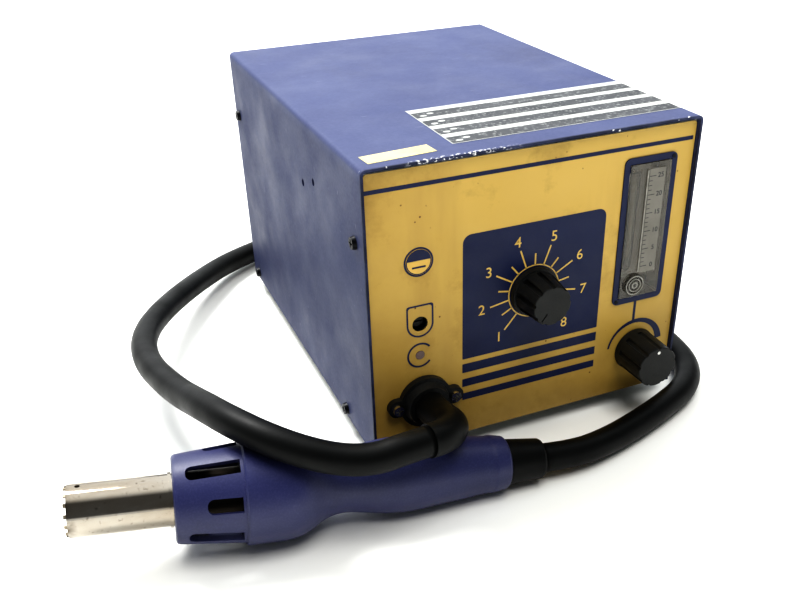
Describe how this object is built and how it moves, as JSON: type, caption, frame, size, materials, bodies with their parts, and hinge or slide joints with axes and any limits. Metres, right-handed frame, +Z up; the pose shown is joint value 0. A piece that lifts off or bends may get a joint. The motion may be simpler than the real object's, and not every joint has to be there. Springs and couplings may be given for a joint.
{
  "type": "hot air station",
  "caption": "Bench hot air station: metal cabinet with air pump, dial, flow meter and knobs, and a handpiece on a rubber hose",
  "frame": {"origin": "middle of the bounding box of the cabinet and the handpiece, at the height the feet stand on; the hose isn't counted", "axes": "+X to the right seen from the front, +Y to the back, +Z up; the control panel faces -Y"},
  "size_m": [0.3458, 0.3235, 0.1452],
  "materials": {
    "cover_paint": "fine satin paint, scuffed",
    "zinc": "plated sheet",
    "panel_film": "printed film, ochre with dark blue print",
    "black_plastic": "moulded, fine grain",
    "black_steel": "blackened",
    "plated_screw": "bright plating",
    "rubber_black": "matt",
    "button_cap": "two-colour printed cap",
    "lamp_clear": "clear red light guide",
    "acrylic": "clear polished acrylic",
    "card": "printed card",
    "float_steel": "dark ball",
    "frame_film": "thin flat frame",
    "circuit_board": "green laminate",
    "component": "moulded cases",
    "aluminium": "extruded",
    "laminations": "varnished steel sheets",
    "winding": "taped winding",
    "brass": "turned",
    "felt": "felt",
    "silicone": "translucent silicone tube",
    "sticker": "paper label",
    "band_label": "plain light and dark bands",
    "pipe_chrome": "bright, lightly heat-stained",
    "liner_steel": "thin stainless sheet",
    "grip_plastic": "violet-blue, fine satin",
    "ceramic": "white ceramic",
    "heating_wire": "resistance wire"
  },
  "bodies": {
    "cabinet": {"air_hose": "rubber_black", "air_tubes": "silicone", "air_valve": "brass", "banded_label": "band_label", "blank_sticker": "sticker", "board_components": "component", "board_posts": "zinc", "case_screws": "black_steel", "chassis_tray": "zinc", "elbow_nut": "black_plastic", "feet": "rubber_black", "flange_screws": "plated_screw", "flow_frame": "frame_film", "flow_meter_body": "acrylic", "flow_plug": "acrylic", "flow_scale": "card", "front_overlay": "panel_film", "front_panel": "zinc", "fuse_cap": "black_plastic", "fuse_holder": "black_plastic", "heat_potentiometer": "component", "heat_sink": "aluminium", "hose_elbow": "rubber_black", "hose_flange": "black_plastic", "intake_filter": "felt", "main_board": "circuit_board", "panel_board": "circuit_board", "panel_board_parts": "component", "panel_nuts": "plated_screw", "power_inlet": "black_plastic", "power_lamp": "lamp_clear", "pump_base": "zinc", "pump_coil": "winding", "pump_core": "laminations", "pump_diaphragm": "rubber_black", "pump_head": "black_plastic", "pump_mounts": "rubber_black", "pump_pin": "zinc", "rear_panel": "black_steel", "switch_housing": "black_plastic", "top_cover": "cover_paint", "transformer_coil": "winding", "transformer_core": "laminations"},
    "heat_control": {"heat_knob": "black_plastic", "heat_shaft": "zinc"},
    "air_control": {"air_knob": "black_plastic", "air_valve_needle": "zinc"},
    "start_key": {"start_button": "button_cap"},
    "float": {"flow_float": "float_steel"},
    "trimmer_rotor": {"cal_rotor": "black_plastic"},
    "rocker": {"switch_rocker": "black_plastic"},
    "armature": {"pump_armature": "aluminium"},
    "handpiece": {"nozzle_pipe": "pipe_chrome", "pipe_liner": "liner_steel", "heat_guard": "grip_plastic", "grip_shell": "grip_plastic", "pipe_flange": "zinc", "heater_core": "ceramic", "heater_coil": "heating_wire", "hose_boot": "rubber_black"}
  },
  "joints": [
    {"name": "heat_knob_turn", "type": "hinge", "parent": "cabinet", "child": "heat_control", "pos_m": [0.0651, -0.0831, 0.0758], "axis": [0, 1, 0], "range_deg": [0, 290]},
    {"name": "air_knob_turn", "type": "hinge", "parent": "cabinet", "child": "air_control", "pos_m": [0.1232, -0.0831, 0.0312], "axis": [0, 1, 0], "range_deg": [-140, 140]},
    {"name": "start_press", "type": "slide", "parent": "cabinet", "child": "start_key", "axis": [0, 1, 0], "range_m": [0, 0.0006], "stiffness_N_per_m": 1500},
    {"name": "float_rise", "type": "slide", "parent": "cabinet", "child": "float", "axis": [0, 0, 1], "range_m": [0, 0.041]},
    {"name": "trimmer_turn", "type": "hinge", "parent": "cabinet", "child": "trimmer_rotor", "pos_m": [0.0097, -0.0811, 0.0717], "axis": [0, 1, 0], "range_deg": [-135, 135]},
    {"name": "power_switch_rock", "type": "hinge", "parent": "cabinet", "child": "rocker", "pos_m": [0.0614, 0.1245, 0.036], "axis": [1, 0, 0], "range_deg": [0, 20]},
    {"name": "armature_swing", "type": "hinge", "parent": "cabinet", "child": "armature", "pos_m": [0.0234, 0.0949, 0.036], "axis": [0, 0, 1], "range_deg": [-1.5, 1.5], "stiffness_Nm_per_rad": 2, "deforming": ["pump_diaphragm"]},
    {"name": "handpiece_slide", "type": "slide", "parent": "cabinet", "child": "handpiece", "axis": [0, -1, 0], "range_m": [0, 0.06], "deforming": ["air_hose"]}
  ]
}
